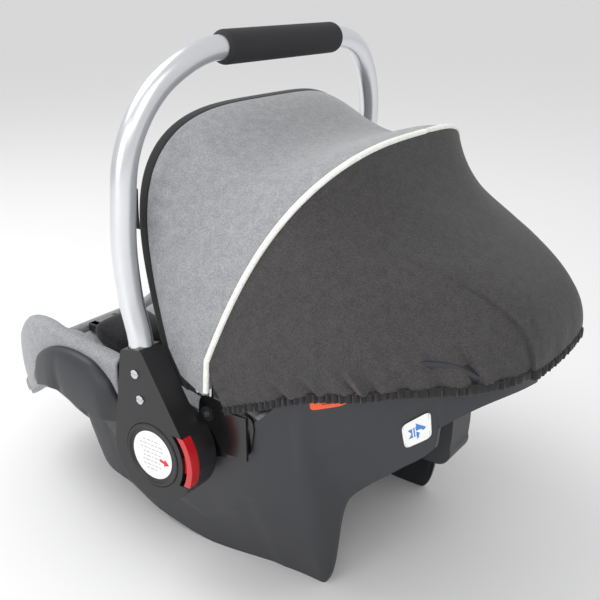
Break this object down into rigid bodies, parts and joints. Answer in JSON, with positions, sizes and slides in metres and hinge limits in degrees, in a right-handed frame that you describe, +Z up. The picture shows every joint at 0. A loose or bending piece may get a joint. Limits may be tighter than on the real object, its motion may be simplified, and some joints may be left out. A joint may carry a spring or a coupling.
{
  "type": "infant car seat",
  "caption": "Rear-facing infant carrier seat with a swinging carry handle, folding two-bow canopy, rocker base, belt guides, padding and harness.",
  "frame": {"origin": "centre of the overall length and width, on the surface that the rockers stand on", "axes": "+Z up, +Y towards the head end, +X towards the child's left"},
  "size_m": [0.4448, 0.6687, 0.5502],
  "materials": {
    "shell_plastic": "fine moulded grain, dark grey",
    "trim_plastic": "satin black",
    "steel": "bright zinc plate",
    "aluminium_tube": "satin anodised",
    "foam_grip": "closed-cell foam",
    "dark_cloth": "charcoal melange weave",
    "light_cloth": "light grey melange weave",
    "black_webbing": "ribbed webbing",
    "black_padding": "padded black cloth",
    "white_piping": "smooth white piping",
    "white_foam": "expanded foam beads",
    "label_white": "printed film",
    "label_orange": "printed film",
    "red_plastic": "glossy red",
    "grey_plastic": "satin grey"
  },
  "bodies": {
    "seat": {"shell": "shell_plastic", "lap_guide_left": "shell_plastic", "lap_guide_right": "shell_plastic", "shoulder_belt_hook": "shell_plastic", "pivot_boss_left": "trim_plastic", "pivot_boss_right": "trim_plastic", "pivot_bolts": "steel", "canopy_mount_left": "trim_plastic", "canopy_mount_right": "trim_plastic", "canopy_pins": "steel", "head_block": "white_foam", "head_cover": "dark_cloth", "elastic_hem": "black_webbing", "foot_cover": "light_cloth", "foam_liner": "white_foam", "seat_pad": "light_cloth", "head_pillow": "light_cloth", "shoulder_strap_left": "black_webbing", "shoulder_strap_right": "black_webbing", "shoulder_pad_left": "black_padding", "shoulder_pad_right": "black_padding", "crotch_strap": "black_webbing", "crotch_pad": "black_padding", "buckle_body": "trim_plastic", "buckle_tongue_left": "steel", "buckle_tongue_right": "steel", "adjuster_strap": "black_webbing", "adjuster_housing": "trim_plastic", "belt_label_left": "label_white", "belt_label_right": "label_white", "caution_label_left": "label_orange", "caution_label_right": "label_orange"},
    "carry_handle": {"handle_tube": "aluminium_tube", "handle_grip": "foam_grip", "handle_arm_left": "trim_plastic", "handle_arm_right": "trim_plastic", "arm_screws": "steel", "hub_cap_left": "trim_plastic", "hub_cap_right": "trim_plastic", "hub_label_left": "label_white", "hub_label_right": "label_white"},
    "release_button_left": {"release_button_left": "red_plastic", "release_spring_left": "steel"},
    "release_button_right": {"release_button_right": "red_plastic", "release_spring_right": "steel"},
    "rear_bow": {"rear_bow": "steel", "rear_bow_ends": "trim_plastic", "rear_piping": "white_piping", "canopy_rear_panel": "dark_cloth"},
    "front_bow": {"front_bow": "steel", "front_bow_ends": "trim_plastic", "canopy_front_panel": "light_cloth", "front_binding": "black_webbing", "canopy_tag": "black_webbing"},
    "buckle_button": {"buckle_button": "red_plastic"},
    "adjuster_button": {"adjuster_button": "grey_plastic"}
  },
  "joints": [
    {"name": "handle_swing", "type": "hinge", "parent": "seat", "child": "carry_handle", "pos_m": [0, 0.02, 0.162], "axis": [-1, 0, 0], "range_deg": [0, 110]},
    {"name": "release_left", "type": "slide", "parent": "carry_handle", "child": "release_button_left", "axis": [0, -1, 0], "range_m": [0, 0.004], "stiffness_N_per_m": 900, "springref_m": -0.003, "deforming": ["release_spring_left"]},
    {"name": "release_right", "type": "slide", "parent": "carry_handle", "child": "release_button_right", "axis": [0, -1, 0], "range_m": [0, 0.004], "stiffness_N_per_m": 900, "springref_m": -0.003, "deforming": ["release_spring_right"]},
    {"name": "canopy_rear", "type": "hinge", "parent": "seat", "child": "rear_bow", "pos_m": [0, 0.063, 0.206], "axis": [-1, 0, 0], "range_deg": [0, 28], "deforming": ["canopy_rear_panel", "head_cover"]},
    {"name": "canopy_front", "type": "hinge", "parent": "rear_bow", "child": "front_bow", "pos_m": [0, 0.063, 0.206], "axis": [-1, 0, 0], "range_deg": [0, 24], "deforming": ["canopy_front_panel"]},
    {"name": "buckle_press", "type": "slide", "parent": "seat", "child": "buckle_button", "axis": [0, 0, -1], "range_m": [0, 0.0015], "stiffness_N_per_m": 1500, "springref_m": -0.001},
    {"name": "adjuster_press", "type": "slide", "parent": "seat", "child": "adjuster_button", "axis": [0, 0, -1], "range_m": [0, 0.0025], "stiffness_N_per_m": 1500, "springref_m": -0.001}
  ]
}
